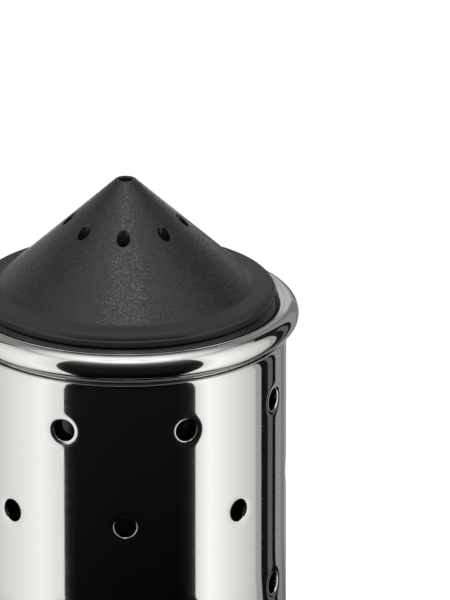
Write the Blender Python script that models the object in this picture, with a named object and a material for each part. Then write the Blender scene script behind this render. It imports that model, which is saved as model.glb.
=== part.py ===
"""Salt shaker: a perforated steel sleeve with a rolled rim, round a black jar that a perforated cone closes.

Lengths are metres and +Z is up. The origin is the middle of the foot, on the table. Every piece is turned
about the Z axis, which is also the axis of every joint: the jar lifts out of the sleeve, and the cap turns
in the jar's mouth and pulls off it.
"""

from math import acos, cos, pi, radians, sin, tan

import bmesh
import bpy
from mathutils import Matrix, Vector

MM = 0.001

# Clearances
FIT = 0.30 * MM            # between neighbours that seat on or slide in each other
SEAL_GAP = 0.25 * MM       # round the cap's seal, which is drawn as it is before it is squeezed

# Steel sleeve: a drawn tube with a rolled rim
BODY_RADIUS = 25.0 * MM    # outside of the tube
SLEEVE_HEIGHT = 65.8 * MM  # lower edge to the middle of the rolled rim
SHEET = 0.7 * MM           # thickness of the steel
BEAD_RADIUS = 2.15 * MM    # outside of the roll, seen in section
BEAD_OUTSET = 0.15 * MM    # middle of the roll, outward from the middle of the sheet
LIP_ANGLE = radians(127)   # where the roll ends, counted from its outermost point over the top
WALL_HOLE_RADIUS = 1.75 * MM
WALL_HOLES = 8             # in one row
FIRST_ROW_DROP = 11.0 * MM  # middle of the rolled rim to the first row
ROW_PITCH = 15.3 * MM      # each row is turned half a step against the row above
LAST_ROW_MARGIN = 8.0 * MM  # least height of the last row above the lower edge

# Base plate and foot
BASE_EDGE = 1.2 * MM       # thickness of the edge that the sleeve stands on
BASE_PLUG = 2.4 * MM       # height of the step inside the sleeve
BASE_RECESS = 1.0 * MM     # depth of the hollow under the plate
BASE_RIB = 3.7 * MM        # between the hollow and the groove for the foot
FOOT_INSET = 4.0 * MM      # outside of the plate to the outside of the foot
FOOT_WIDTH = 3.0 * MM
FOOT_PROUD = 0.6 * MM      # how far the foot stands out below the plate
FOOT_SET = 0.8 * MM        # how far the foot is let into the plate
FOOT_CHAMFER = 0.2 * MM

# Jar
JAR_WALL = 1.8 * MM
JAR_FLOOR = 2.0 * MM
JAR_CORNER = 1.2 * MM      # round under the jar
JAR_BOWL = 3.0 * MM        # round inside the jar, at the floor
JAR_RIM_CHAMFER = 0.25 * MM
JAR_SHOW = 0.2 * MM        # how far the jar's rim stands above the rolled rim

# Cone cap
BRIM_OVERHANG = 0.2 * MM   # widest circle of the brim, beyond the jar
BRIM_WIDTH = 3.4 * MM      # widest circle of the brim to the foot of the cone
BRIM_SLOPE = radians(6)    # of the brim's top, rising to the cone
EDGE_HEIGHT = 1.0 * MM     # underside of the brim to its widest circle
EDGE_DRAFT = 0.3 * MM      # how far the edge draws in below its widest circle
EDGE_SIDE = 0.66 * MM      # length of the leaning side above the widest circle
EDGE_LEAN = radians(31)    # how far that side leans in from upright
EDGE_ROUND = 1.2 * MM      # round between that side and the brim's top
CONE_SLOPE = radians(42.8)
CAP_WALL = 1.6 * MM        # square to the cone
TIP_LAND = 0.55 * MM       # flat ring round the hole at the tip
TIP_HOLE_RADIUS = 1.05 * MM
SALT_HOLE_RADIUS = 1.0 * MM
SALT_HOLES = 8
SALT_RING_RADIUS = 8.9 * MM
CAP_TURN = radians(-2.1)   # how the cap happens to sit against the sleeve's holes
SPIGOT_WALL = 1.3 * MM     # behind the groove for the seal
SPIGOT_CLEARANCE = 0.4 * MM
SPIGOT_LAND = 2.4 * MM     # height of the spigot above the groove
SPIGOT_TAIL = 2.5 * MM     # height of the spigot below the groove
SPIGOT_CHAMFER = 0.5 * MM
SEAL_SECTION_RADIUS = 0.8 * MM

# How finely round shapes are divided
ROUND_STEPS = 48
ROLL_STEPS = 12
FILLET_STEPS = 4
SECTION_STEPS = 10
HOLE_STEPS = 16
CUT_OVERSHOOT = 1.0 * MM   # a cutter's reach past the wall that it pierces

# Sizes and places that follow from the ones above
BEAD_CENTRE = BODY_RADIUS - SHEET / 2 + BEAD_OUTSET
BEAD_HOLLOW = BEAD_RADIUS - SHEET
LIP_RADIUS = BEAD_CENTRE + BEAD_RADIUS * cos(LIP_ANGLE)
SLEEVE_BORE = BODY_RADIUS - SHEET
JAR_RADIUS = LIP_RADIUS - FIT
MOUTH_RADIUS = JAR_RADIUS - JAR_WALL
BRIM_RADIUS = JAR_RADIUS + BRIM_OVERHANG
SPIGOT_RADIUS = MOUTH_RADIUS - SPIGOT_CLEARANCE
SEAL_RADIUS = MOUTH_RADIUS - SEAL_GAP - SEAL_SECTION_RADIUS
GROOVE_FLOOR = SEAL_RADIUS - SEAL_SECTION_RADIUS - SEAL_GAP
GROOVE_HALF = SEAL_SECTION_RADIUS + SEAL_GAP
SEAL_DROP = SPIGOT_LAND + GROOVE_HALF
SPIGOT_DEPTH = SEAL_DROP + GROOVE_HALF + SPIGOT_TAIL
GRIP_SECTION_RADIUS = BEAD_HOLLOW - FIT
FOOT_OUTSIDE = BODY_RADIUS - FOOT_INSET
FOOT_INSIDE = FOOT_OUTSIDE - FOOT_WIDTH
HOLE_ROWS = 1 + int((SLEEVE_HEIGHT - FIRST_ROW_DROP - LAST_ROW_MARGIN) / ROW_PITCH)

BASE_LIFT = FOOT_PROUD
SLEEVE_LIFT = BASE_LIFT + BASE_EDGE + FIT
JAR_LIFT = BASE_LIFT + BASE_EDGE + BASE_PLUG + FIT
RIM_LEVEL = SLEEVE_LIFT + SLEEVE_HEIGHT
JAR_HEIGHT = RIM_LEVEL + BEAD_RADIUS + JAR_SHOW - JAR_LIFT
CAP_LIFT = JAR_LIFT + JAR_HEIGHT + FIT


def clear_scene():
    for thing in list(bpy.data.objects):
        bpy.data.objects.remove(thing, do_unlink=True)


def finish(name, colour, roughness, metallic=0.0):
    """A plain surface of one colour, given as linear red, green and blue."""
    material = bpy.data.materials.new(name)
    material.use_nodes = True
    surface = material.node_tree.nodes["Principled BSDF"]
    surface.inputs["Base Color"].default_value = (*colour, 1.0)
    surface.inputs["Roughness"].default_value = roughness
    surface.inputs["Metallic"].default_value = metallic
    return material


def arc(middle, radius, start, end, steps):
    """Points of a round stretch in the section plane, as distance from the axis and height."""
    angles = [start + (end - start) * step / steps for step in range(steps + 1)]
    return [(middle[0] + radius * cos(a), middle[1] + radius * sin(a)) for a in angles]


def place(thing, parent, lift):
    """Put a piece on the axis, at a height above the table, and hang it on what carries it."""
    bpy.context.scene.collection.objects.link(thing)
    thing.parent = parent
    thing.location.z = lift - (parent.matrix_world.translation.z if parent else 0.0)
    bpy.context.view_layer.update()


def turned(name, outline, material, parent, lift):
    """A piece turned about Z from its section, which runs down the outer side.

    A section that starts on the axis ends there too. Any other is a closed loop, and gives a ring.
    """
    mesh = bpy.data.meshes.new(name)
    count = len(outline)
    edges = [(i, i + 1) for i in range(count - 1)]
    if outline[0][0] > 0.0:
        edges.append((count - 1, 0))
    mesh.from_pydata([(radius, 0.0, height) for radius, height in outline], edges, [])
    mesh.materials.append(material)
    piece = bpy.data.objects.new(name, mesh)
    turn = piece.modifiers.new("turn", "SCREW")
    turn.angle = 2 * pi
    turn.steps = ROUND_STEPS
    turn.render_steps = ROUND_STEPS
    turn.use_merge_vertices = True
    turn.merge_threshold = 0.00001
    turn.use_smooth_shade = True
    place(piece, parent, lift)
    return piece


def ring(name, radius, section_radius, material, parent, lift):
    """A rubber ring of round section."""
    outline = arc((radius, 0.0), section_radius, pi / 2, -3 * pi / 2, SECTION_STEPS)[:-1]
    return turned(name, outline, material, parent, lift)


def pierce(piece, name, radius, length, places):
    """Cut round holes through a piece. Each place is a hole's middle and direction, from its origin."""
    holes = bmesh.new()
    for middle, direction in places:
        turn = Vector(direction).to_track_quat("Z", "Y").to_matrix().to_4x4()
        bmesh.ops.create_cone(
            holes, cap_ends=True, segments=HOLE_STEPS, radius1=radius, radius2=radius, depth=length,
            matrix=Matrix.Translation(middle) @ turn,
        )
    mesh = bpy.data.meshes.new(name)
    holes.to_mesh(mesh)
    holes.free()
    cutter = bpy.data.objects.new(name, mesh)
    cutter.hide_render = True
    cutter.display_type = "WIRE"
    place(cutter, piece, piece.matrix_world.translation.z)
    cut = piece.modifiers.new(name, "BOOLEAN")
    cut.operation = "DIFFERENCE"
    cut.solver = "EXACT"
    cut.object = cutter


def steel_sleeve(material, parent):
    middle = (BEAD_CENTRE, SLEEVE_HEIGHT)
    meets_outside = -acos((BODY_RADIUS - BEAD_CENTRE) / BEAD_RADIUS)
    meets_inside = -acos((SLEEVE_BORE - BEAD_CENTRE) / BEAD_HOLLOW)
    outline = arc(middle, BEAD_RADIUS, LIP_ANGLE, meets_outside, ROLL_STEPS)
    outline += [(BODY_RADIUS, 0.0), (SLEEVE_BORE, 0.0)]
    outline += arc(middle, BEAD_HOLLOW, meets_inside, LIP_ANGLE, ROLL_STEPS)
    sleeve = turned("steel_sleeve", outline, material, parent, SLEEVE_LIFT)

    holes = []
    step = 2 * pi / WALL_HOLES
    for row in range(HOLE_ROWS):
        height = SLEEVE_HEIGHT - FIRST_ROW_DROP - row * ROW_PITCH
        stagger = step / 2 if row % 2 == 0 else 0.0
        for count in range(WALL_HOLES):
            angle = count * step + stagger - pi / 2
            outward = Vector((cos(angle), sin(angle), 0.0))
            holes.append((outward * (BODY_RADIUS - SHEET / 2) + Vector((0.0, 0.0, height)), outward))
    pierce(sleeve, "wall_holes", WALL_HOLE_RADIUS, SHEET + 2 * CUT_OVERSHOOT, holes)
    return sleeve


def base_plate(material, parent):
    """A stepped disc: its edge carries the sleeve, and a groove under it holds the foot."""
    edge = BASE_EDGE
    top = BASE_EDGE + BASE_PLUG
    plug_radius = SLEEVE_BORE - FIT
    groove = FOOT_SET + FIT
    groove_outside = FOOT_OUTSIDE + FIT
    groove_inside = FOOT_INSIDE - FIT
    recess_radius = groove_inside - BASE_RIB
    outline = [
        (0.0, top), (plug_radius, top), (plug_radius, edge), (BODY_RADIUS, edge), (BODY_RADIUS, 0.0),
        (groove_outside, 0.0), (groove_outside, groove), (groove_inside, groove), (groove_inside, 0.0),
        (recess_radius, 0.0), (recess_radius, BASE_RECESS), (0.0, BASE_RECESS),
    ]
    return turned("base_plate", outline, material, parent, BASE_LIFT)


def foot_ring(material, parent):
    height = FOOT_PROUD + FOOT_SET
    outline = [
        (FOOT_OUTSIDE, height), (FOOT_OUTSIDE, FOOT_CHAMFER), (FOOT_OUTSIDE - FOOT_CHAMFER, 0.0),
        (FOOT_INSIDE + FOOT_CHAMFER, 0.0), (FOOT_INSIDE, FOOT_CHAMFER), (FOOT_INSIDE, height),
    ]
    return turned("foot_ring", outline, material, parent, 0.0)


def salt_jar(material, parent):
    """A straight beaker: its section runs up the inside, over the rim and down the outside."""
    rim = JAR_RIM_CHAMFER
    bowl = (MOUTH_RADIUS - JAR_BOWL, JAR_FLOOR + JAR_BOWL)
    corner = (JAR_RADIUS - JAR_CORNER, JAR_CORNER)
    outline = [(0.0, JAR_FLOOR)]
    outline += arc(bowl, JAR_BOWL, -pi / 2, 0.0, FILLET_STEPS)
    outline += [(MOUTH_RADIUS, JAR_HEIGHT - rim), (MOUTH_RADIUS + rim, JAR_HEIGHT)]
    outline += [(JAR_RADIUS - rim, JAR_HEIGHT), (JAR_RADIUS, JAR_HEIGHT - rim)]
    outline += arc(corner, JAR_CORNER, 0.0, -pi / 2, FILLET_STEPS)
    outline.append((0.0, 0.0))
    return turned("salt_jar", outline, material, parent, JAR_LIFT)


def cone_cap(material, parent):
    """A hollow cone on a brim, over a spigot with a groove. Heights start at the brim's underside."""
    cone_foot = BRIM_RADIUS - BRIM_WIDTH
    side_top = (BRIM_RADIUS - EDGE_SIDE * sin(EDGE_LEAN), EDGE_HEIGHT + EDGE_SIDE * cos(EDGE_LEAN))
    round_middle = (side_top[0] - EDGE_ROUND * cos(EDGE_LEAN), side_top[1] - EDGE_ROUND * sin(EDGE_LEAN))
    brim_round = arc(round_middle, EDGE_ROUND, pi / 2 - BRIM_SLOPE, EDGE_LEAN, FILLET_STEPS)
    brim_top = brim_round[0][1] + (brim_round[0][0] - cone_foot) * tan(BRIM_SLOPE)
    tip_radius = TIP_HOLE_RADIUS + TIP_LAND
    spigot_bore = GROOVE_FLOOR - SPIGOT_WALL

    def outside(radius):
        return brim_top + (cone_foot - radius) * tan(CONE_SLOPE)

    def inside(radius):
        return outside(radius) - CAP_WALL / cos(CONE_SLOPE)

    outline = [(TIP_HOLE_RADIUS, outside(tip_radius)), (tip_radius, outside(tip_radius))]
    outline.append((cone_foot, brim_top))
    outline += brim_round
    outline += [(BRIM_RADIUS, EDGE_HEIGHT), (BRIM_RADIUS - EDGE_DRAFT, 0.0), (SPIGOT_RADIUS, 0.0)]
    outline += [(SPIGOT_RADIUS, GROOVE_HALF - SEAL_DROP), (GROOVE_FLOOR, GROOVE_HALF - SEAL_DROP)]
    outline += [(GROOVE_FLOOR, -GROOVE_HALF - SEAL_DROP), (SPIGOT_RADIUS, -GROOVE_HALF - SEAL_DROP)]
    outline.append((SPIGOT_RADIUS, SPIGOT_CHAMFER - SPIGOT_DEPTH))
    outline.append((SPIGOT_RADIUS - SPIGOT_CHAMFER, -SPIGOT_DEPTH))
    outline += [(spigot_bore, -SPIGOT_DEPTH), (spigot_bore, inside(spigot_bore))]
    outline.append((TIP_HOLE_RADIUS, inside(TIP_HOLE_RADIUS)))
    cap = turned("cone_cap", outline, material, parent, CAP_LIFT)

    holes = []
    for count in range(SALT_HOLES):
        angle = count * 2 * pi / SALT_HOLES - pi / 2 + CAP_TURN
        height = (outside(SALT_RING_RADIUS) + inside(SALT_RING_RADIUS)) / 2
        middle = Vector((SALT_RING_RADIUS * cos(angle), SALT_RING_RADIUS * sin(angle), height))
        holes.append((middle, (0.0, 0.0, 1.0)))
    through = CAP_WALL / cos(CONE_SLOPE) + 2 * SALT_HOLE_RADIUS * tan(CONE_SLOPE)
    pierce(cap, "salt_holes", SALT_HOLE_RADIUS, through + 2 * CUT_OVERSHOOT, holes)
    return cap


def main():
    clear_scene()
    steel = finish("polished_steel", (0.62, 0.61, 0.59), 0.06, 1.0)
    gloss = finish("glossy_black_plastic", (0.010, 0.010, 0.011), 0.12)
    matte = finish("grained_black_plastic", (0.040, 0.041, 0.043), 0.55)
    rubber = finish("black_rubber", (0.018, 0.018, 0.018), 0.75)
    base = finish("base_black_plastic", (0.030, 0.030, 0.032), 0.50)

    stand = bpy.data.objects.new("table_level", None)
    place(stand, None, 0.0)
    sleeve = steel_sleeve(steel, stand)
    base_plate(base, sleeve)
    foot_ring(rubber, sleeve)
    grip_radius = LIP_RADIUS + GRIP_SECTION_RADIUS
    ring("rim_grip_ring", grip_radius, GRIP_SECTION_RADIUS, rubber, sleeve, RIM_LEVEL)
    jar = salt_jar(gloss, sleeve)
    seal = ring("cap_seal", SEAL_RADIUS, SEAL_SECTION_RADIUS, rubber, jar, CAP_LIFT - SEAL_DROP)
    cone_cap(matte, seal)


main()
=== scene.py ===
"""The salt shaker as it looks: mirror steel sleeve, black jar, matte cone cap, and the studio round it."""

from math import acos, asin, cos, pi, radians, sin, tan

import bpy
import numpy as np
from mathutils import Euler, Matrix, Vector


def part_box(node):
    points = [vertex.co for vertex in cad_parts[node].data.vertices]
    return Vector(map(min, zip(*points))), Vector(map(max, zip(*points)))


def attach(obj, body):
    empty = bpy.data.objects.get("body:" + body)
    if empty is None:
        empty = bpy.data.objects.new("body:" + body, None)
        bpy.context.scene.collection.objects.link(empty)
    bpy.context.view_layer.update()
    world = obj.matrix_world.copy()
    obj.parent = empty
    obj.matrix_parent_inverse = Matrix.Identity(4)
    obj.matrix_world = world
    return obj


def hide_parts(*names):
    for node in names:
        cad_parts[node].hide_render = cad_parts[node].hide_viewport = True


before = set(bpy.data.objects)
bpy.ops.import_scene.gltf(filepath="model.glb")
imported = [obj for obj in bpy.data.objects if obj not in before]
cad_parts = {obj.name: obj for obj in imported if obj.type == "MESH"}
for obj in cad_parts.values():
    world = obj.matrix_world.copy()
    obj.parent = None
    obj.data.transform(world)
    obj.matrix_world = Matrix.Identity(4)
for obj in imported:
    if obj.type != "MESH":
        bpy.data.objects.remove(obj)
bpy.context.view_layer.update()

MM = 0.001
UP = np.array([0.0, 0.0, 1.0])
FRONT = -pi / 2
WELDS_PER_MM = 1e4

# Steps of the meshes: round the axis, up a hole's cell, from its edge to its hole, and along rounded strokes
ROUND_STEPS = 128
CELL_STEPS_UP = 8
BLENDS = 5
CORNER_STEPS = 6
DISH_STEPS = 9
PUNCH_STEPS = 8
FLARE_STEPS = 16
BEAD_STEPS = 24
HOLLOW_STEPS = 36
LIP_STEPS = 14
EDGE_STEPS = 8
CONE_STEPS = 6
RING_STEPS = 40


def reach(node):
    """A CAD node's widest radius, lowest level and highest level, in millimetres."""
    low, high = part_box(node)
    return high.x / MM, low.z / MM, high.z / MM


# What the frame gives, in millimetres
BEAD_OUTSIDE, SLEEVE_FOOT, BEAD_TOP = reach("steel_sleeve")
BODY_RADIUS, BASE_LOW, BASE_TOP = reach("base_plate")
FOOT_OUTSIDE, FOOT_LOW, FOOT_TOP = reach("foot_ring")
JAR_RADIUS, JAR_LOW, JAR_RIM = reach("salt_jar")
BRIM_RADIUS, SPIGOT_END, CAP_TIP = reach("cone_cap")
SEAL_OUTSIDE, SEAL_LOW, SEAL_TOP = reach("cap_seal")
GRIP_OUTSIDE, GRIP_LOW, GRIP_TOP = reach("rim_grip_ring")

# The steel sleeve, in millimetres
SHEET = 0.7
SLEEVE_BORE = BODY_RADIUS - SHEET
SLEEVE_EDGE_ROUND = 0.25

# Its rolled rim: the bead's crown and underside have rounds of their own, and a fine line runs on the crest
BEAD = 2.15
BEAD_MIDDLE = BEAD_OUTSIDE - BEAD
RIM_LEVEL = BEAD_TOP - BEAD
CROWN = 2.2
CROWN_START = radians(40)
ROLL_END = radians(119)
LINE = 0.06
UNDERSIDE = 1.6
UNDERSIDE_START = radians(-20)

# The tube's end, flared under the bead, and the groove behind its lip
FLARE_LEVEL = RIM_LEVEL - 4.24
FLARE_HIGH = 1.45
FLARE_OUT = 0.19
FLARE_END = radians(66)
FLARE_EDGE = 0.13
GROOVE_DEPTH = 0.5
NECK = 24.6
# Level and half height of the bands on the lip and in the groove that the buff does not reach
RAW_BANDS = ((RIM_LEVEL - 2.87, 0.05), (RIM_LEVEL - 2.33, 0.18))
RAW_FADE = 0.02

# Its holes, in staggered rows
WALL_HOLE = 1.75
HOLES_ROUND = 8
HOLE_ROWS = 4
FIRST_ROW_DROP = 11.0
ROW_PITCH = 15.3
HOLE_CELL = 10.0
# Each is punched from outside: the steel dips towards it and rolls over its edge
PUNCH_ROUND = 0.25
PUNCH_TILT = radians(10)
DISH_REACH = 1.5
DISH_BEND = 1.5

# The cone cap, in millimetres
CONE_SLOPE = radians(42.8)
CAP_WALL = 1.6
TIP_HOLE = 1.05
TIP_LAND = 0.55
TIP_ROUND = 0.45
TIP_HOLE_ROUND = 0.25
SALT_HOLE = 1.0
SALT_RING = 8.78
SALT_HOLE_ROUND = 0.2
SALT_CELL = 3.0
# It sits with its holes about 2 degrees round from the sleeve's
CAP_TURN = radians(-92.1)

# Its brim, widest at the fine flash line round its edge
BRIM_WIDTH = 3.4
BRIM_SLOPE = radians(6)
BRIM_GAP = 0.3
BRIM_UNDER = JAR_RIM + BRIM_GAP
BRIM_UNDER_ROUND = 0.2
EDGE_HEIGHT = 1.0
EDGE_DRAFT = 0.3
EDGE_SIDE = 0.66
EDGE_LEAN = radians(31)
EDGE_ROUND = 1.2
FLASH = 0.12
FLASH_TOP = 0.2
FLASH_LEAN = radians(52)
FLASH_LEVEL = BRIM_UNDER + EDGE_HEIGHT
CREASE_RADIUS = BRIM_RADIUS - BRIM_WIDTH

# The jar: a cup whose rim is bevelled and stands out over its wall as a small lip
JAR_WALL = 1.8
JAR_FLOOR = 2.0
JAR_FOOT_ROUND = 1.2
JAR_CORNER_ROUND = 3.0
JAR_LIP = 23.44
JAR_LIP_HIGH = 0.25
JAR_LIP_SLOPE = 0.25
JAR_BEVEL_TOP = 22.7
JAR_BEVEL_DROP = 0.75
MOUTH = JAR_RADIUS - JAR_WALL
MOUTH_ROUND = 0.3

# The spigot under the cap, which plugs the jar's mouth, and the rubber rings
SPIGOT = MOUTH - 0.4
SPIGOT_ROUND = 0.5
SPIGOT_BORE = 18.006
THROAT_ROUND = 0.6
GROOVE_FLOOR = 19.306
GROOVE_FLOOR_ROUND = 0.2
GROOVE_EDGE_ROUND = 0.15
SEAL = (SEAL_TOP - SEAL_LOW) / 2
SEAL_LEVEL = (SEAL_TOP + SEAL_LOW) / 2
GROOVE_HALF = SEAL + 0.25
GRIP = (GRIP_TOP - GRIP_LOW) / 2
GRIP_LEVEL = (GRIP_TOP + GRIP_LOW) / 2
MOULD_LINE = radians(8)

# The base plate, its hollow underside, and the foot ring in its groove
FOOT_WIDTH = 3.0
FOOT_GAP = 0.3
FOOT_GROOVE_HIGH = 1.1
HOLLOW_RADIUS = 14.0
HOLLOW_HIGH = 1.0
FLANGE_HIGH = 1.2
FLANGE_ROUND = 0.15
PLATE_RADIUS = SLEEVE_BORE - 0.3
PLATE_ROUND = 0.3
PLATE_EDGE_ROUND = 0.2
FOOT_ROUND = 0.25
FOOT_TOP_ROUND = 0.15


def arc(middle, radius, start, end, steps=12):
    """A round stroke of a section, its normals outward; with a falling angle it is a hollow round."""
    turn = np.linspace(start, end, steps + 1)
    lean = np.stack([np.cos(turn), np.sin(turn)], axis=1)
    return np.array(middle) + radius * lean, lean * (1.0 if end > start else -1.0)


def straight(start, end, steps=1):
    """A straight stroke of a section; its outside is on the right of its direction."""
    share = np.linspace(0, 1, steps + 1)[:, None]
    points = (1 - share) * np.array(start) + share * np.array(end)
    run = points[-1] - points[0]
    lean = np.array([run[1], -run[0]]) / np.hypot(*run)
    return points, np.tile(lean, (steps + 1, 1))


def section(corners, closed=True):
    """Strokes through corners (radius, level, rounding), with the material on the left of the way round."""
    spots = np.array([corner[:2] for corner in corners], float)
    rounds = [corner[2] if len(corner) > 2 else 0.0 for corner in corners]
    count = len(corners)
    strokes = []
    leave = spots[0]
    for at in list(range(1, count)) + ([0] if closed else []):
        before = spots[at] - spots[at - 1]
        before = before / np.hypot(*before)
        after = spots[(at + 1) % count] - spots[at]
        after = after / np.hypot(*after)
        turn = np.arctan2(before[0] * after[1] - before[1] * after[0], before @ after)
        last = at == count - 1 and not closed
        cut = 0.0 if last else abs(rounds[at] * tan(turn / 2))
        enter = spots[at] - cut * before
        strokes.append(straight(leave, enter))
        leave = spots[at] + cut * after
        if cut:
            side = 1.0 if turn > 0 else -1.0
            first = np.array([before[1], -before[0]])
            steps = np.linspace(0, turn, CORNER_STEPS + 1)
            lean = np.stack([first[0] * np.cos(steps) - first[1] * np.sin(steps),
                             first[0] * np.sin(steps) + first[1] * np.cos(steps)], axis=1)
            middle = enter - side * rounds[at] * first
            strokes.append((middle + side * rounds[at] * lean, lean))
    return strokes


def turned(strokes, phase=0.0):
    """Patches of surface swept round the axis by the strokes of a section."""
    turn = phase + np.linspace(0, 2 * pi, ROUND_STEPS + 1)
    out = np.stack([np.cos(turn), np.sin(turn), 0 * turn], axis=1)
    patches = []
    for points, lean in strokes:
        patches.append((points[:, None, :1] * out + points[:, None, 1:] * UP,
                        lean[:, None, :1] * out + lean[:, None, 1:] * UP))
    return patches


def cell_edge(half_width, half_height):
    """Points round a hole's rectangular cell, anticlockwise from the middle of its right side."""
    across = ROUND_STEPS // HOLES_ROUND
    up = CELL_STEPS_UP
    marks = np.cumsum([0, up / 2, across, up, across, up / 2])
    count = np.arange(marks[-1] + 1)
    return np.stack([np.interp(count, marks, half_width * np.array([1, 1, -1, -1, 1, 1])),
                     np.interp(count, marks, half_height * np.array([0, 1, 1, -1, -1, 0]))], axis=1)


def rings_to_hole(edge, radii):
    """Rings of points from a cell's edge to its hole: blends of edge and circle, then circles."""
    turn = np.linspace(0, 2 * pi, len(edge))
    circles = np.array(radii)[:, None, None] * np.stack([np.cos(turn), np.sin(turn)], axis=1)
    share = np.linspace(1, 0, BLENDS, endpoint=False)[:, None, None]
    return np.concatenate([share * edge + (1 - share) * circles[0], circles])


def punched_edge():
    """Section of the steel at a hole: distance from the hole, depth below the tube, tilt towards the hole."""
    start = PUNCH_ROUND * (1 - sin(PUNCH_TILT))
    share = np.linspace(0, 1, DISH_STEPS + 1)
    distance = DISH_REACH - share * (DISH_REACH - start)
    tilt = np.arctan(tan(PUNCH_TILT) * share ** DISH_BEND)
    depth = tan(PUNCH_TILT) * (DISH_REACH - start) / (DISH_BEND + 1) * share ** (DISH_BEND + 1)
    roll = np.linspace(PUNCH_TILT, pi / 2, PUNCH_STEPS + 1)[1:]
    distance = np.concatenate([distance, PUNCH_ROUND * (1 - np.sin(roll)), [0.0]])
    depth = np.concatenate([depth, depth[-1] + PUNCH_ROUND * (cos(PUNCH_TILT) - np.cos(roll)), [SHEET]])
    tilt = np.concatenate([tilt, roll, [pi / 2]])
    return distance, depth, tilt


def on_tube(flat, depth, tilt, angle, level, side=1.0):
    """Points laid flat round a hole, wrapped on the tube at their depths, with normals tilted to the hole."""
    turn = angle + flat[..., 0] / BODY_RADIUS
    out = np.stack([np.cos(turn), np.sin(turn), 0 * turn], axis=-1)
    along = np.stack([-np.sin(turn), np.cos(turn), 0 * turn], axis=-1)
    points = out * (BODY_RADIUS - depth)[:, None, None] + (level + flat[..., 1:]) * UP
    toward = -flat / np.linalg.norm(flat, axis=-1, keepdims=True)
    lean = out * np.cos(tilt)[:, None, None]
    lean = lean + (along * toward[..., :1] + UP * toward[..., 1:]) * np.sin(tilt)[:, None, None]
    return points, lean * side


def perforated_wall():
    """The tube's wall in staggered rows of cells with one hole each, outside and inside."""
    width = 2 * pi * BODY_RADIUS / HOLES_ROUND
    edge = cell_edge(width / 2, HOLE_CELL / 2)
    distance, depth, tilt = punched_edge()
    flush = np.zeros(BLENDS)
    outside = rings_to_hole(edge, WALL_HOLE + distance)
    depth = np.append(flush, depth)
    tilt = np.append(flush, tilt)
    inside = rings_to_hole(edge, [WALL_HOLE])
    inside_depth = np.full(len(inside), SHEET)
    inside_tilt = np.zeros(len(inside))
    patches = []
    for row in range(HOLE_ROWS):
        level = RIM_LEVEL - FIRST_ROW_DROP - row * ROW_PITCH
        for count in range(HOLES_ROUND):
            angle = FRONT + (count + (0.5 if row % 2 == 0 else 0.0)) * 2 * pi / HOLES_ROUND
            patches.append(on_tube(outside, depth, tilt, angle, level))
            patches.append(on_tube(inside, inside_depth, inside_tilt, angle, level, -1.0))
        if row:
            low = level + HOLE_CELL / 2
            high = low + ROW_PITCH - HOLE_CELL
            patches += turned([straight((BODY_RADIUS, low), (BODY_RADIUS, high)),
                               straight((SLEEVE_BORE, high), (SLEEVE_BORE, low))], FRONT)
    return patches


def flared():
    """The stroke where the tube bends out below the rim: a part of an ellipse, bending most at its end."""
    turn = np.linspace(0, FLARE_END, FLARE_STEPS + 1)
    points = np.stack([BODY_RADIUS + FLARE_OUT * (1 - np.cos(turn)),
                       FLARE_LEVEL + FLARE_HIGH * np.sin(turn)], axis=1)
    lean = np.stack([FLARE_HIGH * np.cos(turn), -FLARE_OUT * np.sin(turn)], axis=1)
    return points, lean / np.linalg.norm(lean, axis=1, keepdims=True)


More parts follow.
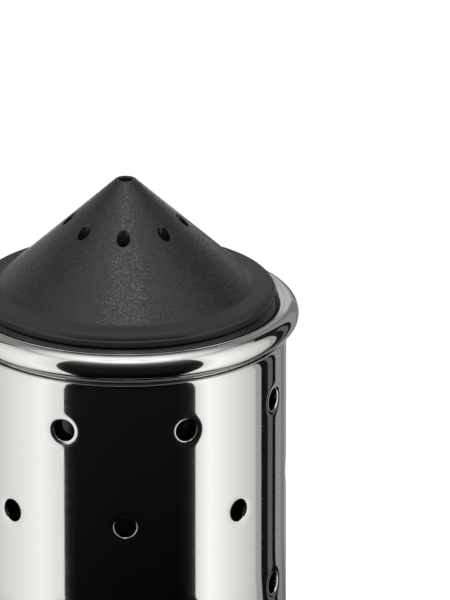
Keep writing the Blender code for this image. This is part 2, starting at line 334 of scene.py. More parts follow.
def sleeve_patches():
    """Rolled bead, perforated wall, bore and foot of the steel sleeve."""
    holes_top = RIM_LEVEL - FIRST_ROW_DROP + HOLE_CELL / 2
    holes_foot = holes_top - (HOLE_ROWS - 1) * ROW_PITCH - HOLE_CELL
    bead = (BEAD_MIDDLE, RIM_LEVEL)
    crown_off = BEAD - CROWN
    crown = (BEAD_MIDDLE + crown_off * cos(CROWN_START), RIM_LEVEL + crown_off * sin(CROWN_START))
    line_start = acos(LINE / CROWN)
    end = np.array([cos(ROLL_END), sin(ROLL_END)])
    flare = flared()
    edge = flare[0][-1] - FLARE_EDGE * flare[1][-1]
    edge_start = asin(flare[1][-1][1])
    groove_wall = edge[0] - FLARE_EDGE
    groove_floor = edge[1] - GROOVE_DEPTH
    under_off = BEAD - UNDERSIDE
    under = (BEAD_MIDDLE + under_off * cos(UNDERSIDE_START), RIM_LEVEL + under_off * sin(UNDERSIDE_START))
    neck_top = -acos((NECK - under[0]) / UNDERSIDE)
    hollow = BEAD - SHEET
    hollow_end = -acos((SLEEVE_BORE - BEAD_MIDDLE) / hollow)
    above = [
        straight((BODY_RADIUS, holes_top), (BODY_RADIUS, FLARE_LEVEL)),
        flare,
        arc(edge, FLARE_EDGE, edge_start, pi),
        straight((groove_wall, edge[1]), (groove_wall, groove_floor)),
        straight((groove_wall, groove_floor), (NECK, groove_floor)),
        straight((NECK, groove_floor), (NECK, under[1] + UNDERSIDE * sin(neck_top))),
        arc(under, UNDERSIDE, neck_top, UNDERSIDE_START, BEAD_STEPS),
        arc(bead, BEAD, UNDERSIDE_START, CROWN_START, BEAD_STEPS),
        arc(crown, CROWN, CROWN_START, line_start, BEAD_STEPS),
        arc((crown[0], crown[1] + CROWN * sin(line_start)), LINE, 0, pi, EDGE_STEPS),
        arc(crown, CROWN, pi - line_start, ROLL_END, LIP_STEPS),
        arc(crown + (CROWN - SHEET / 2) * end, SHEET / 2, ROLL_END, ROLL_END + pi, EDGE_STEPS),
        arc(crown, CROWN - SHEET, ROLL_END, CROWN_START, BEAD_STEPS),
        arc(bead, hollow, CROWN_START, hollow_end, HOLLOW_STEPS),
        straight((SLEEVE_BORE, RIM_LEVEL + hollow * sin(hollow_end)), (SLEEVE_BORE, holes_top)),
    ]
    below = section([
        (SLEEVE_BORE, holes_foot), (SLEEVE_BORE, SLEEVE_FOOT, SLEEVE_EDGE_ROUND),
        (BODY_RADIUS, SLEEVE_FOOT, SLEEVE_EDGE_ROUND), (BODY_RADIUS, holes_foot),
    ], closed=False)
    return turned(above, FRONT) + perforated_wall() + turned(below, FRONT)


def cone(radius):
    """Level of the cone's outside."""
    return CAP_TIP - (radius - TIP_HOLE - TIP_LAND) * tan(CONE_SLOPE)


def cone_inside(radius):
    """Level of the cone's inside, a wall below its outside."""
    return cone(radius) - CAP_WALL / cos(CONE_SLOPE)


def round_salt_hole(flat, angle):
    """Points laid flat round a salt hole, in plan on the cone: their places, ways to the hole and radii."""
    out = np.array([cos(angle), sin(angle)])
    along = np.array([sin(angle), -cos(angle)])
    from_hole = flat[..., :1] * along + flat[..., 1:] * out
    plan = SALT_RING * out + from_hole
    toward = -from_hole / np.linalg.norm(from_hole, axis=-1, keepdims=True)
    return plan, toward, np.linalg.norm(plan, axis=-1)


def joined(flat, upright):
    """Plan vectors with their upright parts."""
    return np.concatenate([flat, upright[..., None]], axis=-1)


def salt_cells():
    """The ring of the cone that carries the salt holes, which are moulded straight down."""
    half = pi / HOLES_ROUND
    turn, out = cell_edge(half, SALT_CELL).T
    edge = np.stack([(SALT_RING + out) * np.sin(turn), (SALT_RING + out) * np.cos(turn) - SALT_RING], axis=1)
    roll = np.linspace(0, pi / 2, CORNER_STEPS + 1)
    rolled = rings_to_hole(edge, SALT_HOLE + SALT_HOLE_ROUND * (1 - np.sin(roll)))
    drop = np.append(np.zeros(BLENDS), SALT_HOLE_ROUND * (1 - np.cos(roll)))[:, None]
    tilt = np.append(np.zeros(BLENDS), roll)[:, None]
    under = rings_to_hole(edge, [SALT_HOLE])
    patches = []
    for count in range(HOLES_ROUND):
        angle = CAP_TURN + count * 2 * half
        plan, toward, radius = round_salt_hole(rolled, angle)
        level = cone(radius) - drop
        slope = tan(CONE_SLOPE) * plan / radius[..., None]
        lean = joined(np.cos(tilt)[..., None] * slope + np.sin(tilt)[..., None] * toward,
                      np.broadcast_to(np.cos(tilt), radius.shape))
        patches.append((joined(plan, level), lean))
        wall = np.stack([joined(plan[-1], level[-1]), joined(plan[-1], cone_inside(radius[-1]))])
        patches.append((wall, np.stack([lean[-1], lean[-1]])))
        plan, _, radius = round_salt_hole(under, angle)
        slope = tan(CONE_SLOPE) * plan / radius[..., None]
        patches.append((joined(plan, cone_inside(radius)), joined(-slope, np.full(radius.shape, -1.0))))
    return patches


def cap_patches():
    """Spigot, brim, cone and tip of the cap, and its ring of salt holes."""
    widest = (BRIM_RADIUS, FLASH_LEVEL)
    lean = np.array([cos(EDGE_LEAN), sin(EDGE_LEAN)])
    side_top = np.array(widest) + EDGE_SIDE * np.array([-lean[1], lean[0]])
    shoulder = side_top - EDGE_ROUND * lean
    crease = (CREASE_RADIUS, cone(CREASE_RADIUS))
    holes_in = SALT_RING - SALT_CELL
    holes_out = SALT_RING + SALT_CELL
    groove_low = SEAL_LEVEL - GROOVE_HALF
    groove_top = SEAL_LEVEL + GROOVE_HALF
    under = section([
        (SPIGOT_BORE, SPIGOT_END),
        (SPIGOT, SPIGOT_END, SPIGOT_ROUND),
        (SPIGOT, groove_low, GROOVE_EDGE_ROUND),
        (GROOVE_FLOOR, groove_low, GROOVE_FLOOR_ROUND),
        (GROOVE_FLOOR, groove_top, GROOVE_FLOOR_ROUND),
        (SPIGOT, groove_top, GROOVE_EDGE_ROUND),
        (SPIGOT, BRIM_UNDER, BRIM_UNDER_ROUND),
        (BRIM_RADIUS - EDGE_DRAFT, BRIM_UNDER, BRIM_UNDER_ROUND),
        (BRIM_RADIUS - FLASH, FLASH_LEVEL - FLASH / 3),
        widest,
    ], closed=False)
    flash_top = (BRIM_RADIUS - FLASH_TOP * sin(FLASH_LEAN), FLASH_LEVEL + FLASH_TOP * cos(FLASH_LEAN))
    rounded = arc(shoulder, EDGE_ROUND, EDGE_LEAN, pi / 2 - BRIM_SLOPE)
    top = [
        straight(widest, flash_top),
        straight(flash_top, side_top),
        rounded,
        straight(rounded[0][-1], crease),
        straight(crease, (holes_out, cone(holes_out)), CONE_STEPS),
    ]
    tip = section([
        (holes_in, cone(holes_in)),
        (TIP_HOLE + TIP_LAND, CAP_TIP, TIP_ROUND),
        (TIP_HOLE, CAP_TIP, TIP_HOLE_ROUND),
        (TIP_HOLE, cone_inside(TIP_HOLE)),
        (holes_in, cone_inside(holes_in)),
    ], closed=False)
    inside = section([
        (holes_out, cone_inside(holes_out)),
        (SPIGOT_BORE, cone_inside(SPIGOT_BORE), THROAT_ROUND),
        (SPIGOT_BORE, SPIGOT_END),
    ], closed=False)
    return turned(under + top, CAP_TURN) + salt_cells() + turned(tip + inside, CAP_TURN)


def jar_patches():
    """A plain cup with a bevelled rim that stands out a little over its wall."""
    bevel_foot = JAR_RIM - JAR_BEVEL_DROP
    lip_foot = bevel_foot - JAR_LIP_HIGH
    return turned(section([
        (0.0, JAR_LOW),
        (JAR_RADIUS, JAR_LOW, JAR_FOOT_ROUND),
        (JAR_RADIUS, lip_foot - JAR_LIP_SLOPE, 0.2),
        (JAR_LIP, lip_foot, 0.1),
        (JAR_LIP, bevel_foot, 0.05),
        (JAR_BEVEL_TOP, JAR_RIM, 0.15),
        (MOUTH, JAR_RIM, MOUTH_ROUND),
        (MOUTH, JAR_LOW + JAR_FLOOR, JAR_CORNER_ROUND),
        (0.0, JAR_LOW + JAR_FLOOR),
    ], closed=False))


def base_patches():
    """A flanged disc, hollow underneath, with a groove for the foot ring."""
    groove_inside = FOOT_OUTSIDE - FOOT_WIDTH - FOOT_GAP
    groove_outside = FOOT_OUTSIDE + FOOT_GAP
    groove_top = BASE_LOW + FOOT_GROOVE_HIGH
    hollow_top = BASE_LOW + HOLLOW_HIGH
    flange_top = BASE_LOW + FLANGE_HIGH
    return turned(section([
        (0.0, hollow_top),
        (HOLLOW_RADIUS, hollow_top, PLATE_ROUND),
        (HOLLOW_RADIUS, BASE_LOW, PLATE_EDGE_ROUND),
        (groove_inside, BASE_LOW, PLATE_EDGE_ROUND),
        (groove_inside, groove_top),
        (groove_outside, groove_top),
        (groove_outside, BASE_LOW, PLATE_EDGE_ROUND),
        (BODY_RADIUS, BASE_LOW, PLATE_ROUND),
        (BODY_RADIUS, flange_top, FLANGE_ROUND),
        (PLATE_RADIUS, flange_top),
        (PLATE_RADIUS, BASE_TOP, PLATE_ROUND),
        (0.0, BASE_TOP),
    ], closed=False))


def foot_patches():
    """A flat rubber ring with rounded edges."""
    inside = FOOT_OUTSIDE - FOOT_WIDTH
    return turned(section([
        (inside, FOOT_LOW, FOOT_ROUND),
        (FOOT_OUTSIDE, FOOT_LOW, FOOT_ROUND),
        (FOOT_OUTSIDE, FOOT_TOP, FOOT_TOP_ROUND),
        (inside, FOOT_TOP, FOOT_TOP_ROUND),
    ]))


def ring_patches(outside, level, thickness):
    """A round rubber ring with the fine line where its mould closed."""
    points, lean = arc((outside - thickness, level), thickness, MOULD_LINE, 2 * pi - MOULD_LINE, RING_STEPS)
    crest = (outside, level)
    return turned([(points, lean), straight(points[-1], crest), straight(crest, points[0])])


def piece(name, node, body, material, patches):
    """One mesh from patches: welded where they meet, shaded by their own normals, riding its CAD body."""
    spots = []
    leans = []
    quads = []
    start = 0
    for points, lean in patches:
        rows, columns = points.shape[:2]
        index = start + np.arange(rows * columns).reshape(rows, columns)
        corners = np.stack([index[:-1, :-1], index[1:, :-1], index[1:, 1:], index[:-1, 1:]], axis=-1)
        quads.append(corners.reshape(-1, 4))
        spots.append(points.reshape(-1, 3))
        leans.append(lean.reshape(-1, 3))
        start += rows * columns
    spots = np.concatenate(spots)
    leans = np.concatenate(leans)
    leans = leans / np.linalg.norm(leans, axis=1, keepdims=True)
    quads = np.concatenate(quads)
    facing = np.cross(spots[quads[:, 2]] - spots[quads[:, 0]], spots[quads[:, 3]] - spots[quads[:, 1]])
    back = (facing * leans[quads].sum(axis=1)).sum(axis=1) < 0
    quads[back] = quads[back][:, ::-1]
    grid = np.round(spots * WELDS_PER_MM).astype(np.int64)
    _, kept, welded = np.unique(grid, axis=0, return_index=True, return_inverse=True)
    welded = welded.reshape(-1)
    faces = []
    normals = []
    for quad in quads:
        corners = welded[quad]
        keep = [at for at in range(4) if corners[at] != corners[at - 1]]
        if len(keep) > 2:
            faces.append([int(corners[at]) for at in keep])
            normals.extend(leans[quad[at]] for at in keep)
    mesh = bpy.data.meshes.new(name)
    mesh.from_pydata((spots[kept] * MM).tolist(), [], faces)
    mesh.polygons.foreach_set("use_smooth", [True] * len(mesh.polygons))
    mesh.normals_split_custom_set(np.array(normals).tolist())
    mesh.materials.append(material)
    made = bpy.data.objects.new(name, mesh)
    bpy.context.scene.collection.objects.link(made)
    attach(made, body)
    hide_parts(node)


def paint(code):
    """The linear colour of an sRGB hex code."""
    channels = [int(code[at:at + 2], 16) / 255 for at in (1, 3, 5)]
    return [c / 12.92 if c <= 0.04045 else ((c + 0.055) / 1.055) ** 2.4 for c in channels] + [1.0]


def add(tree, kind, values=None, links=None, **settings):
    """A shader node with its settings, the values of its sockets and the links into them."""
    made = tree.nodes.new(kind)
    for name, setting in settings.items():
        setattr(made, name, setting)
    for socket, value in (values or {}).items():
        made.inputs[socket].default_value = value
    for socket, source in (links or {}).items():
        tree.links.new(source, made.inputs[socket])
    return made


def material(name):
    """An empty material and its node tree."""
    made = bpy.data.materials.new(name)
    made.use_nodes = True
    made.node_tree.nodes.clear()
    return made, made.node_tree


def off_level(tree, height, level):
    """How far above or below a level a spot lies, in metres."""
    off = add(tree, "ShaderNodeMath", {1: level * MM}, {0: height.outputs["Z"]}, operation="SUBTRACT")
    off = add(tree, "ShaderNodeMath", None, {0: off.outputs["Value"]}, operation="ABSOLUTE")
    return off.outputs["Value"]


def mirror_polished_stainless_steel():
    """Drawn tube buffed to a mirror on a lathe: what stands round it shows sharply, and fine buffing lines
    round the tube soften its edges a little, unevenly."""
    made, tree = material("mirror_polished_stainless_steel")
    place = add(tree, "ShaderNodeTexCoord")
    # Buffing lines, about 20 mm long and 0.4 mm high
    lines = add(tree, "ShaderNodeMapping", {"Scale": (1 / (20 * MM), 1 / (20 * MM), 1 / (0.4 * MM))},
                {"Vector": place.outputs["Object"]})
    buffing = add(tree, "ShaderNodeTexNoise", {"Scale": 1.0, "Detail": 3.0},
                  {"Vector": lines.outputs["Vector"]})
    rough = add(tree, "ShaderNodeMapRange",
                {"From Min": 0.35, "From Max": 0.7, "To Min": 0.03, "To Max": 0.09},
                {"Value": buffing.outputs["Fac"]})
    # The buff does not reach the sheared edge and the groove under the rim: their upright scratches, far too
    # fine to show, throw the light sideways
    height = add(tree, "ShaderNodeSeparateXYZ", None, {"Vector": place.outputs["Object"]})
    bands = []
    for level, half in RAW_BANDS:
        span = {"From Min": half * MM, "From Max": (half + RAW_FADE) * MM}
        bands.append(add(tree, "ShaderNodeMapRange", {**span, "To Min": 1.0, "To Max": 0.0},
                         {"Value": off_level(tree, height, level)}))
    raw = add(tree, "ShaderNodeMath", None, {at: band.outputs["Result"] for at, band in enumerate(bands)},
              operation="ADD")
    rough = add(tree, "ShaderNodeMath", {1: 0.5}, {0: raw.outputs["Value"], 2: rough.outputs["Result"]},
                operation="MULTIPLY_ADD")
    round_tube = add(tree, "ShaderNodeTangent", direction_type="RADIAL", axis="Z")
    steel = add(tree, "ShaderNodeBsdfPrincipled", {"Base Color": paint("#DDDBD8"), "Metallic": 1.0},
                {"Roughness": rough.outputs["Value"], "Anisotropic": raw.outputs["Value"],
                 "Tangent": round_tube.outputs["Tangent"]})
    add(tree, "ShaderNodeOutputMaterial", None, {"Surface": steel.outputs["BSDF"]})
    return made


def grained_moulded_plastic():
    """Black plastic from a spark-eroded mould: a fine even grain that keeps it matte and makes the cone
    sparkle, over a duller brim."""
    made, tree = material("grained_moulded_plastic")
    place = add(tree, "ShaderNodeTexCoord")
    # Facets of the eroded mould, 0.16 mm across so that they show, each with its own tilt
    facets = add(tree, "ShaderNodeTexVoronoi", {"Scale": 1 / (0.16 * MM)},
                 {"Vector": place.outputs["Object"]})
    tilt = add(tree, "ShaderNodeVectorMath", {1: (0.5, 0.5, 0.5)}, {0: facets.outputs["Color"]},
               operation="SUBTRACT")
    # The brim's half of the mould was blasted after eroding, which wore its facets down to a dull skin
    height = add(tree, "ShaderNodeSeparateXYZ", None, {"Vector": place.outputs["Object"]})
    # The change runs from just under the crease to half a millimetre up the cone
    crease = cone(CREASE_RADIUS)
    at_crease = {"From Min": (crease - 0.1) * MM, "From Max": (crease + 0.5) * MM}
    steep = add(tree, "ShaderNodeMapRange", {**at_crease, "To Min": 0.13, "To Max": 0.28},
                {"Value": height.outputs["Z"]})
    dull = add(tree, "ShaderNodeMapRange", {**at_crease, "To Min": 0.55, "To Max": 0.22},
               {"Value": height.outputs["Z"]})
    # Fingers have worn the line round the brim smooth
    off = off_level(tree, height, FLASH_LEVEL)
    at_flash = {"From Min": 0.15 * MM, "From Max": 0.45 * MM}
    steep = add(tree, "ShaderNodeMapRange", {**at_flash, "To Min": 0.04},
                {"Value": off, "To Max": steep.outputs["Result"]})
    dull = add(tree, "ShaderNodeMapRange", {**at_flash, "To Min": 0.15},
               {"Value": off, "To Max": dull.outputs["Result"]})
    tilt = add(tree, "ShaderNodeVectorMath", None,
               {0: tilt.outputs["Vector"], "Scale": steep.outputs["Result"]}, operation="SCALE")
    skin = add(tree, "ShaderNodeNewGeometry")
    grain = add(tree, "ShaderNodeVectorMath", None, {0: skin.outputs["Normal"], 1: tilt.outputs["Vector"]},
                operation="ADD")
    grain = add(tree, "ShaderNodeVectorMath", None, {0: grain.outputs["Vector"]}, operation="NORMALIZE")
    plastic = add(tree, "ShaderNodeBsdfPrincipled",
                  {"Base Color": paint("#2B2C2E"), "IOR": 1.5, "Specular IOR Level": 0.4},
                  {"Roughness": dull.outputs["Result"], "Normal": grain.outputs["Vector"]})
    add(tree, "ShaderNodeOutputMaterial", None, {"Surface": plastic.outputs["BSDF"]})
    return made


def gloss_moulded_plastic():
    """Black plastic from a polished mould: a shine with the slight ripple that shrinking leaves, and a rim
    that handling has dulled, with a lighter grey painted on it as a painted sheen."""
    made, tree = material("gloss_moulded_plastic")
    place = add(tree, "ShaderNodeTexCoord")
    # Shrink ripple, about 6 mm apart
    ripple = add(tree, "ShaderNodeTexNoise", {"Scale": 1 / (6 * MM), "Detail": 1.0},
                 {"Vector": place.outputs["Object"]})
    skin = add(tree, "ShaderNodeBump", {"Strength": 0.3, "Distance": 0.05 * MM},
               {"Height": ripple.outputs["Fac"]})
    # Fingers dull the top 2 mm, and less of the 1.5 mm below; this share also lays on a painted sheen
    height = add(tree, "ShaderNodeSeparateXYZ", None, {"Vector": place.outputs["Object"]})
    handled_and_painted_sheen = add(tree, "ShaderNodeMapRange",
                  {"From Min": (JAR_RIM - 3.5) * MM, "From Max": (JAR_RIM - 2.0) * MM},
                  {"Value": height.outputs["Z"]})
    # Sockets 6 and 7 are the colours of the wall and of the rim, whose lighter grey is a painted sheen
    shade = add(tree, "ShaderNodeMix", {6: paint("#141415"), 7: paint("#2D2F33")},
                {0: handled_and_painted_sheen.outputs["Result"]}, data_type="RGBA")
    rough = add(tree, "ShaderNodeMapRange", {"To Min": 0.12, "To Max": 0.35},
                {"Value": handled_and_painted_sheen.outputs["Result"]})
    plastic = add(tree, "ShaderNodeBsdfPrincipled", {"IOR": 1.5},
                  {"Base Color": shade.outputs[2], "Roughness": rough.outputs["Result"],
                   "Normal": skin.outputs["Normal"]})
    add(tree, "ShaderNodeOutputMaterial", None, {"Surface": plastic.outputs["BSDF"]})
    return made


def satin_moulded_plastic():
    """Black plastic from a blasted mould: a soft even sheen over shallow pits."""
    made, tree = material("satin_moulded_plastic")
    place = add(tree, "ShaderNodeTexCoord")
    # Pits of the blasted mould, about 0.2 mm apart
    pits = add(tree, "ShaderNodeTexNoise", {"Scale": 1 / (0.2 * MM), "Detail": 2.0},
               {"Vector": place.outputs["Object"]})
    skin = add(tree, "ShaderNodeBump", {"Strength": 0.3, "Distance": 0.02 * MM},
               {"Height": pits.outputs["Fac"]})
    plastic = add(tree, "ShaderNodeBsdfPrincipled",
                  {"Base Color": paint("#17171A"), "Roughness": 0.4, "IOR": 1.5},
                  {"Normal": skin.outputs["Normal"]})
    add(tree, "ShaderNodeOutputMaterial", None, {"Surface": plastic.outputs["BSDF"]})
    return made


def moulded_rubber():
    """Black rubber, dull from its mould, with the dusty variation of a handled seal."""
    made, tree = material("moulded_rubber")
    place = add(tree, "ShaderNodeTexCoord")
    # Bloom on the rubber, about 3 mm across
    bloom = add(tree, "ShaderNodeTexNoise", {"Scale": 1 / (3 * MM), "Detail": 4.0},
                {"Vector": place.outputs["Object"]})
    rough = add(tree, "ShaderNodeMapRange", {"To Min": 0.6, "To Max": 0.8}, {"Value": bloom.outputs["Fac"]})
    # Grain of the mould, about 0.15 mm apart
    grain = add(tree, "ShaderNodeTexNoise", {"Scale": 1 / (0.15 * MM), "Detail": 2.0},
                {"Vector": place.outputs["Object"]})
    skin = add(tree, "ShaderNodeBump", {"Strength": 0.3, "Distance": 0.02 * MM},
               {"Height": grain.outputs["Fac"]})
    rubber = add(tree, "ShaderNodeBsdfPrincipled", {"Base Color": paint("#1C1C1C"), "IOR": 1.5},
                 {"Roughness": rough.outputs["Result"], "Normal": skin.outputs["Normal"]})
    add(tree, "ShaderNodeOutputMaterial", None, {"Surface": rubber.outputs["BSDF"]})
    return made


steel = mirror_polished_stainless_steel()
cap_plastic = grained_moulded_plastic()
jar_plastic = gloss_moulded_plastic()
base_plastic = satin_moulded_plastic()
rubber = moulded_rubber()

piece("mirror_sleeve", "steel_sleeve", "sleeve", steel, sleeve_patches())
piece("grained_cap", "cone_cap", "cap", cap_plastic, cap_patches())
piece("gloss_jar", "salt_jar", "jar", jar_plastic, jar_patches())
piece("satin_base", "base_plate", "sleeve", base_plastic, base_patches())
piece("rubber_foot", "foot_ring", "sleeve", rubber, foot_patches())
piece("rubber_seal", "cap_seal", "seal", rubber, ring_patches(SEAL_OUTSIDE, SEAL_LEVEL, SEAL))
piece("rubber_grip", "rim_grip_ring", "sleeve", rubber,
      ring_patches(GRIP_OUTSIDE, GRIP_LEVEL, GRIP))


# The studio, in millimetres: floor, white surround, soft light overhead and the cards that the steel mirrors
FLOOR_HALF = 1500.0
SOFTBOX = (400.0, 330.0)
SOFTBOX_AWAY = 500.0
SOFTBOX_LEAN = radians(8)
SOFTBOX_WATTS = 1.9
RING = 90.0
INSIDE_RING = 88.0
CARD_STEP = 3
DISC_STEPS = 64
CANOPY = 700.0
CANOPY_GLOW = 0.25
CANOPY_STEPS_UP = 18
CANOPY_STEPS_ROUND = 48


def stage_mesh(name, spots, faces, material_used):
    """A mesh of the studio, in metres."""
    mesh = bpy.data.meshes.new(name)
    mesh.from_pydata(spots, [], faces)
    mesh.materials.append(material_used)
    made = bpy.data.objects.new(name, mesh)
    bpy.context.scene.collection.objects.link(made)
    return made


def in_view(tree):
    """1 where the camera looks, straight or by way of a shine or a clear piece, and 0 for scattered light."""
    rays = add(tree, "ShaderNodeLightPath")
    seen = add(tree, "ShaderNodeMath", None,
               {0: rays.outputs["Is Camera Ray"], 1: rays.outputs["Is Glossy Ray"]}, operation="ADD")
    seen = add(tree, "ShaderNodeMath", None,
               {0: seen.outputs["Value"], 1: rays.outputs["Is Transmission Ray"]},
               operation="ADD", use_clamp=True)
    return seen.outputs["Value"]


def pale_floor():
    """A pale table that shows the shaker's shadow and is white away from it."""
    made, tree = material("pale_table")
    seen = in_view(tree)
    place = add(tree, "ShaderNodeTexCoord")
    away = add(tree, "ShaderNodeVectorMath", None, {0: place.outputs["Object"]}, operation="LENGTH")
    lift = add(tree, "ShaderNodeMapRange",
               {"From Min": 150 * MM, "From Max": 600 * MM, "To Min": 0.55, "To Max": 0.85},
               {"Value": away.outputs["Value"]})
    lift = add(tree, "ShaderNodeMath", None, {0: lift.outputs["Result"], 1: seen}, operation="MULTIPLY")
    top = add(tree, "ShaderNodeBsdfDiffuse", {"Color": paint("#EDEDEC")})
    glow = add(tree, "ShaderNodeEmission", {"Color": paint("#FFFFFF")}, {"Strength": lift.outputs["Value"]})
    both = add(tree, "ShaderNodeAddShader", None, {0: top.outputs["BSDF"], 1: glow.outputs["Emission"]})
    add(tree, "ShaderNodeOutputMaterial", None, {"Surface": both.outputs["Shader"]})
    made.cycles.emission_sampling = "NONE"
    half = FLOOR_HALF * MM
    stage_mesh("floor", [(-half, -half, 0), (half, -half, 0), (half, half, 0), (-half, half, 0)],
               [(0, 1, 2, 3)], made)


def white_surround():
    """White to look at, and weaker in what it throws on the shaker."""
    world = bpy.data.worlds.new("white_surround")
    bpy.context.scene.world = world
    world.use_nodes = True
    tree = world.node_tree
    tree.nodes.clear()
    seen = in_view(tree)
    level = add(tree, "ShaderNodeMapRange", {"To Min": 0.26, "To Max": 1.0}, {"Value": seen})
    sky = add(tree, "ShaderNodeBackground", {"Color": paint("#FFFFFF")},
              {"Strength": level.outputs["Result"]})
    add(tree, "ShaderNodeOutputWorld", None, {"Surface": sky.outputs["Background"]})


def overhead_light():
    """A softbox half a metre above the rim, a little in front; the steel mirrors the diffuser instead."""
    lamp = bpy.data.lights.new("overhead_softbox", "AREA")
    lamp.shape = "RECTANGLE"
    lamp.size = SOFTBOX[0] * MM
    lamp.size_y = SOFTBOX[1] * MM
    lamp.energy = SOFTBOX_WATTS
    made = bpy.data.objects.new("overhead_softbox", lamp)
    made.location = (0.0, -SOFTBOX_AWAY * sin(SOFTBOX_LEAN) * MM,
                     (RIM_LEVEL + SOFTBOX_AWAY * cos(SOFTBOX_LEAN)) * MM)
    made.rotation_euler = Euler((-SOFTBOX_LEAN, 0.0, 0.0))
    made.visible_glossy = False
    bpy.context.scene.collection.objects.link(made)


def card_material():
    """Studio cards, as bright as each is painted."""
    made, tree = material("studio_cards")
    shade = add(tree, "ShaderNodeVertexColor", layer_name="brightness")
    glow = add(tree, "ShaderNodeEmission", {"Strength": 1.0}, {"Color": shade.outputs["Color"]})
    add(tree, "ShaderNodeOutputMaterial", None, {"Surface": glow.outputs["Emission"]})
    made.cycles.emission_sampling = "NONE"
    return made


# By the degrees from the front to the right that the steel looks: brightness of the cards and of their hood
CARDS = (
    (-180, 0.36, 0.25), (-124, 0.36, 0.25), (-124, 0.01, 0.25), (-112, 0.01, 0.30), (-112, 0.78, 0.45),
    (-63, 1.23, 0.70), (-45, 0.96, 0.60), (-45, 0.06, 0.60), (-41, 0.012, 0.60), (-36, 0.004, 0.60),
    (0, 0.0025, 0.60), (38, 0.002, 0.60), (44, 0.005, 0.60), (48, 0.015, 0.60), (51.5, 0.06, 0.60),
    (51.5, 0.98, 0.60), (63, 1.33, 0.70), (108, 0.68, 0.45), (108, 0.46, 0.35), (115, 0.46, 0.30),
    (115, 0.005, 0.25), (124.5, 0.01, 0.25), (124.5, 0.13, 0.25), (132, 0.13, 0.25), (132, 0.005, 0.25),
    (137.5, 0.005, 0.25), (137.5, 0.33, 0.28), (150, 0.33, 0.28), (150, 0.23, 0.22), (161, 0.23, 0.22),
    (161, 0.36, 0.25), (180, 0.36, 0.25),
)
# From the table up: radius, level, share changed to the hood's brightness, share left in painted shadow
CARD_LEVELS = (
    (26.0, 0.5, 0.0, 0.006), (44.0, 0.5, 0.0, 0.012), (58.0, 0.5, 0.0, 0.7), (RING, 0.5, 0.0, 1.0),
    (RING, 88.0, 0.02, 1.0), (RING, 104.0, 0.06, 1.0), (RING, 129.0, 0.15, 1.0), (RING, 150.0, 0.4, 1.0),
    (RING, 175.0, 1.0, 1.0),
)
# Brightness of the overhead diffuser by distance from its middle, and of the lamp's hot spot on it
DIFFUSER_GLOW = ((0, 0.95), (20, 1.1), (40, 1.35), (55, 1.3), (70, 1.1), (85, 1.0), (100, 0.9), (115, 0.75),
                 (130, 0.5), (160, 0.3), (260, 0.22))
HOT_SPOT_GLOW = ((0, 10.0), (10, 8.0), (16, 2.6), (20, 1.4))
DIFFUSER_PLACE = (0.0, -45.0, RIM_LEVEL + 160.0)
HOT_SPOT_PLACE = (0.0, -68.0, RIM_LEVEL + 159.0)
# Upright cards inside the ring: the direction in which the tube looks, the card's lowest and highest levels
FRAME_TOP = ((106, 117, 120), (112, 111, 126), (117, 100, 136), (124, 100, 144), (130, 100, 136),
             (135.5, 96, 108))
FRONT_FLAG = tuple((look, 158, 185) for look in range(-45, 52, 8))
BACK = (163.5, 172, 180, 188, 196.5)
BACK_PANEL = tuple((look, 84, 108) for look in BACK)
BACK_FLAG = tuple((look, 54, 66) for look in BACK)


def card(name, spots, faces, shades):
    """A studio card that only the steel and the plastics' shine see, with a brightness at each corner."""
    made = stage_mesh(name, (np.array(spots) * MM).tolist(), faces, card_paint)
    brightness = made.data.color_attributes.new("brightness", "FLOAT_COLOR", "CORNER")
    brightness.data.foreach_set("color", np.array([(s, s, s, 1.0) for s in shades]).ravel())
    made.visible_camera = False
    made.visible_diffuse = False
    made.visible_shadow = False
    made.visible_transmission = False


def loose_quads(spots):
    """Faces of a card whose spots come four to a face."""
    return [(at, at + 1, at + 2, at + 3) for at in range(0, len(spots), 4)]


def standing(look):
    """Where on the ring of cards the tube looks, for the direction in which it looks."""
    return look - asin(BODY_RADIUS * sin(look / 2) / RING)


def standing_cards():
    """Cards on the table and upright in a ring round the shaker, with a hood above."""
    spots = []
    shades = []
    for (first, first_low, first_top), (second, second_low, second_top) in zip(CARDS, CARDS[1:]):
        steps = round((second - first) / CARD_STEP)
        for step in range(steps):
            shares = (step / steps, (step + 1) / steps)
            stands = [standing(radians(first + share * (second - first))) for share in shares]
            lows = [first_low + share * (second_low - first_low) for share in shares]
            tops = [first_top + share * (second_top - first_top) for share in shares]
            # The last column of the levels darkens the table cards near the shaker: a painted shadow
            for lower, upper in zip(CARD_LEVELS, CARD_LEVELS[1:]):
                for side, (radius, level, mix, lit) in ((0, lower), (1, lower), (1, upper), (0, upper)):
                    spots.append((radius * sin(stands[side]), -radius * cos(stands[side]), level))
                    shades.append(lit * (lows[side] + mix * (tops[side] - lows[side])))
    card("standing_cards", spots, loose_quads(spots), shades)


def upright_card(name, stops, shade):
    """An evenly bright card that stands inside the ring, through stops of direction and levels."""
    spots = []
    for look, low, high in stops:
        turn = standing(radians(look))
        for level in (low, high):
            spots.append((INSIDE_RING * sin(turn), -INSIDE_RING * cos(turn), level))
    faces = [(at, at + 1, at + 3, at + 2) for at in range(0, len(spots) - 2, 2)]
    card(name, spots, faces, [shade] * 4 * len(faces))


def glowing_disc(name, middle, glow):
    """A level disc over the shaker, with a brightness at each distance from its middle."""
    spots = []
    shades = []
    turns = np.linspace(0, 2 * pi, DISC_STEPS + 1)
    for (inner, bright), (outer, dim) in zip(glow, glow[1:]):
        for first, second in zip(turns, turns[1:]):
            for radius, turn, shade in ((inner, first, bright), (inner, second, bright), (outer, second, dim),
                                        (outer, first, dim)):
                spots.append((middle[0] + radius * sin(turn), middle[1] - radius * cos(turn), middle[2]))
                shades.append(shade)
    card(name, spots, loose_quads(spots), shades)


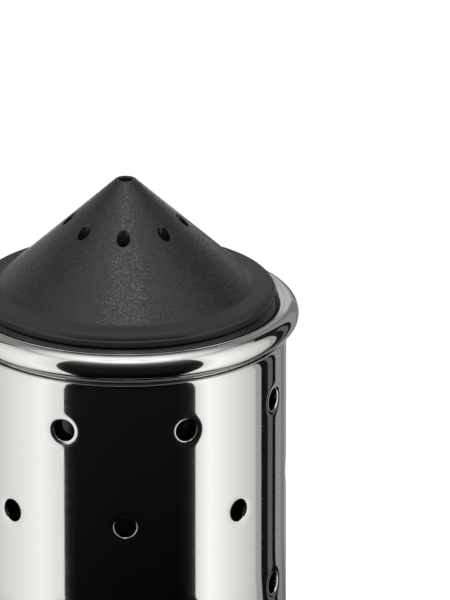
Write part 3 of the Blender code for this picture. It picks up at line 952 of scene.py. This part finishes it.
def canopy():
    """A dim white canopy round everything."""
    spots = []
    rises = np.radians(np.linspace(0, 90, CANOPY_STEPS_UP + 1))
    turns = np.linspace(0, 2 * pi, CANOPY_STEPS_ROUND + 1)
    for low, high in zip(rises, rises[1:]):
        for first, second in zip(turns, turns[1:]):
            for rise, turn in ((low, first), (low, second), (high, second), (high, first)):
                flat = CANOPY * cos(rise)
                spots.append((flat * sin(turn), -flat * cos(turn), RIM_LEVEL + CANOPY * sin(rise)))
    card("canopy", spots, loose_quads(spots), [CANOPY_GLOW] * len(spots))


pale_floor()
white_surround()
overhead_light()
card_paint = card_material()
standing_cards()
upright_card("frame_top", FRAME_TOP, 0.012)
upright_card("front_flag", FRONT_FLAG, 0.5)
upright_card("back_panel", BACK_PANEL, 0.6)
upright_card("back_flag", BACK_FLAG, 0.02)
canopy()
glowing_disc("diffuser", DIFFUSER_PLACE, DIFFUSER_GLOW)
glowing_disc("hot_spot", HOT_SPOT_PLACE, HOT_SPOT_GLOW)


# The camera stands far off and looks down on the shaker's shoulder; its body runs out of the picture
LOOK_DOWN = radians(20.4)
STAND_OFF = 2350.0
PICTURE = (450, 600)
PX_PER_MM = 6.42
RIM_IN_PICTURE = (125.9, 312.0)

lens = bpy.data.cameras.new("camera")
lens.lens = PX_PER_MM * STAND_OFF / PICTURE[1] * lens.sensor_width
lens.clip_end = 10.0
camera = bpy.data.objects.new("camera", lens)
picture_up = Vector((0.0, sin(LOOK_DOWN), cos(LOOK_DOWN)))
aim = Vector((0.0, 0.0, RIM_LEVEL))
aim += Vector((PICTURE[0] / 2 - RIM_IN_PICTURE[0], 0.0, 0.0)) / PX_PER_MM
aim += (RIM_IN_PICTURE[1] - PICTURE[1] / 2) / PX_PER_MM * picture_up
camera.location = (aim + STAND_OFF * Vector((0.0, -cos(LOOK_DOWN), sin(LOOK_DOWN)))) * MM
camera.rotation_euler = Euler((pi / 2 - LOOK_DOWN, 0.0, 0.0))
bpy.context.scene.collection.objects.link(camera)
bpy.context.scene.camera = camera
bpy.context.scene.view_settings.view_transform = "Standard"
